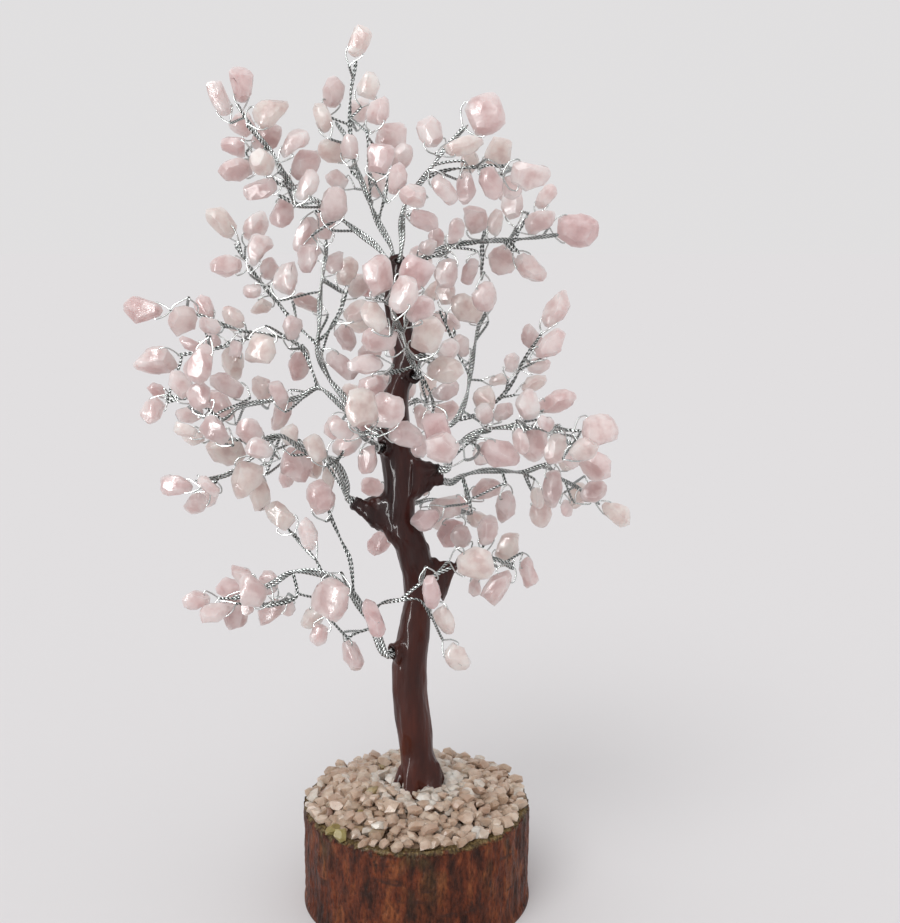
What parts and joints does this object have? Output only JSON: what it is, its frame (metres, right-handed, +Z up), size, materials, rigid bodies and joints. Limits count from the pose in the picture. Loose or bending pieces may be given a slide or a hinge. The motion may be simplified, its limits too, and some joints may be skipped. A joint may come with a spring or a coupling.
{
  "type": "gemstone tree ornament",
  "caption": "Tree of drilled rose quartz chips on twisted silver wire branches, with a lacquered trunk standing in a bark-covered log slice topped with quartz chips.",
  "frame": {"origin": "centre of the log's underside", "axes": "+Z up the trunk, -Y the side that the picture shows, +X to that view's right"},
  "size_m": [0.1597, 0.1022, 0.2792],
  "materials": {
    "wood": "sawn",
    "bark": "varnished bark",
    "steel_wire": "bright drawn",
    "silver_wire": "bright drawn",
    "lacquer": "gloss lacquer",
    "glue": "clear set glue",
    "quartz_chips": "crushed, part milky",
    "rose_quartz": "tumbled, milky"
  },
  "bodies": {
    "base_and_trunk": {"log_core": "wood", "bark": "bark", "trunk_core": "steel_wire", "trunk_coat": "lacquer", "glue_bed": "glue", "quartz_chips_1": "quartz_chips", "quartz_chips_2": "quartz_chips", "quartz_chips_3": "quartz_chips"},
    "low_left_branch": {"low_left_wires": "silver_wire", "low_left_gems": "rose_quartz"},
    "low_right_branch": {"low_right_wires": "silver_wire", "low_right_gems": "rose_quartz"},
    "mid_left_branch": {"mid_left_wires": "silver_wire", "mid_left_gems": "rose_quartz"},
    "front_low_branch": {"front_low_wires": "silver_wire", "front_low_gems": "rose_quartz"},
    "left_long_branch": {"left_long_wires": "silver_wire", "left_long_gems": "rose_quartz"},
    "upper_left_branch": {"upper_left_wires": "silver_wire", "upper_left_gems": "rose_quartz"},
    "front_branch": {"front_wires": "silver_wire", "front_gems": "rose_quartz"},
    "mid_right_branch": {"mid_right_wires": "silver_wire", "mid_right_gems": "rose_quartz"},
    "right_long_branch": {"right_long_wires": "silver_wire", "right_long_gems": "rose_quartz"},
    "upper_right_branch": {"upper_right_wires": "silver_wire", "upper_right_gems": "rose_quartz"},
    "top_left_branch": {"top_left_wires": "silver_wire", "top_left_gems": "rose_quartz"},
    "top_centre_branch": {"top_centre_wires": "silver_wire", "top_centre_gems": "rose_quartz"},
    "top_right_branch": {"top_right_wires": "silver_wire", "top_right_gems": "rose_quartz"},
    "right_upper_branch": {"right_upper_wires": "silver_wire", "right_upper_gems": "rose_quartz"},
    "rear_low_branch": {"rear_low_wires": "silver_wire", "rear_low_gems": "rose_quartz"},
    "rear_mid_branch": {"rear_mid_wires": "silver_wire", "rear_mid_gems": "rose_quartz"},
    "rear_upper_branch": {"rear_upper_wires": "silver_wire", "rear_upper_gems": "rose_quartz"}
  },
  "joints": [
    {"name": "low_left_bend", "type": "hinge", "parent": "base_and_trunk", "child": "low_left_branch", "pos_m": [-0.00744, -0.00392, 0.08533], "axis": [-0.4577, 0.8891, 0], "range_deg": [-10, 10]},
    {"name": "low_right_bend", "type": "hinge", "parent": "base_and_trunk", "child": "low_right_branch", "pos_m": [0.0143, 0.00112, 0.11372], "axis": [0.4597, -0.8881, 0], "range_deg": [-6, 10]},
    {"name": "mid_left_bend", "type": "hinge", "parent": "base_and_trunk", "child": "mid_left_branch", "pos_m": [-0.01933, -0.00168, 0.13468], "axis": [-0.4644, 0.8856, 0], "range_deg": [-10, 7]},
    {"name": "front_low_bend", "type": "hinge", "parent": "base_and_trunk", "child": "front_low_branch", "pos_m": [-0.01009, -0.00672, 0.15287], "axis": [-0.9983, 0.0581, 0], "range_deg": [-10, 6]},
    {"name": "left_long_bend", "type": "hinge", "parent": "base_and_trunk", "child": "left_long_branch", "pos_m": [-0.01263, -0.00336, 0.16197], "axis": [-0.0574, 0.9984, 0], "range_deg": [-7, 7]},
    {"name": "upper_left_bend", "type": "hinge", "parent": "base_and_trunk", "child": "upper_left_branch", "pos_m": [-0.01304, 0.00392, 0.16396], "axis": [0.3127, 0.9498, 0], "range_deg": [-10, 5]},
    {"name": "front_bend", "type": "hinge", "parent": "base_and_trunk", "child": "front_branch", "pos_m": [0.00049, -0.00728, 0.17519], "axis": [-0.9994, 0.0333, 0], "range_deg": [-8, 8]},
    {"name": "mid_right_bend", "type": "hinge", "parent": "base_and_trunk", "child": "mid_right_branch", "pos_m": [0.00921, 0.00168, 0.14038], "axis": [0.3366, -0.9417, 0], "range_deg": [-8, 10]},
    {"name": "right_long_bend", "type": "hinge", "parent": "base_and_trunk", "child": "right_long_branch", "pos_m": [0.008, -0.00392, 0.1454], "axis": [-0.4869, -0.8735, 0], "range_deg": [-10, 5]},
    {"name": "upper_right_bend", "type": "hinge", "parent": "base_and_trunk", "child": "upper_right_branch", "pos_m": [0.00163, 0.00448, 0.15302], "axis": [-0.0298, -0.9996, 0], "range_deg": [-7, 4]},
    {"name": "top_left_bend", "type": "hinge", "parent": "base_and_trunk", "child": "top_left_branch", "pos_m": [-0.00765, -0.00168, 0.20825], "axis": [-0.125, 0.9922, 0], "range_deg": [-10, 7]},
    {"name": "top_centre_bend", "type": "hinge", "parent": "base_and_trunk", "child": "top_centre_branch", "pos_m": [-0.00639, 0.00448, 0.21011], "axis": [0.0793, 0.9969, 0], "range_deg": [-8, 4]},
    {"name": "top_right_bend", "type": "hinge", "parent": "base_and_trunk", "child": "top_right_branch", "pos_m": [-0.00392, -0.00392, 0.20983], "axis": [-0.3878, -0.9217, 0], "range_deg": [-10, 3]},
    {"name": "right_upper_bend", "type": "hinge", "parent": "base_and_trunk", "child": "right_upper_branch", "pos_m": [-0.00262, 0.00112, 0.20511], "axis": [0.1448, -0.9895, 0], "range_deg": [-6, 8]},
    {"name": "rear_low_bend", "type": "hinge", "parent": "base_and_trunk", "child": "rear_low_branch", "pos_m": [-0.00177, 0.00728, 0.12665], "axis": [0.9999, 0.014, 0], "range_deg": [-10, 10]},
    {"name": "rear_mid_bend", "type": "hinge", "parent": "base_and_trunk", "child": "rear_mid_branch", "pos_m": [-0.00572, 0.00728, 0.15638], "axis": [0.9967, 0.0818, 0], "range_deg": [-10, 10]},
    {"name": "rear_upper_bend", "type": "hinge", "parent": "base_and_trunk", "child": "rear_upper_branch", "pos_m": [-0.0045, 0.00672, 0.18813], "axis": [0.9991, 0.0424, 0], "range_deg": [-10, 6]}
  ]
}
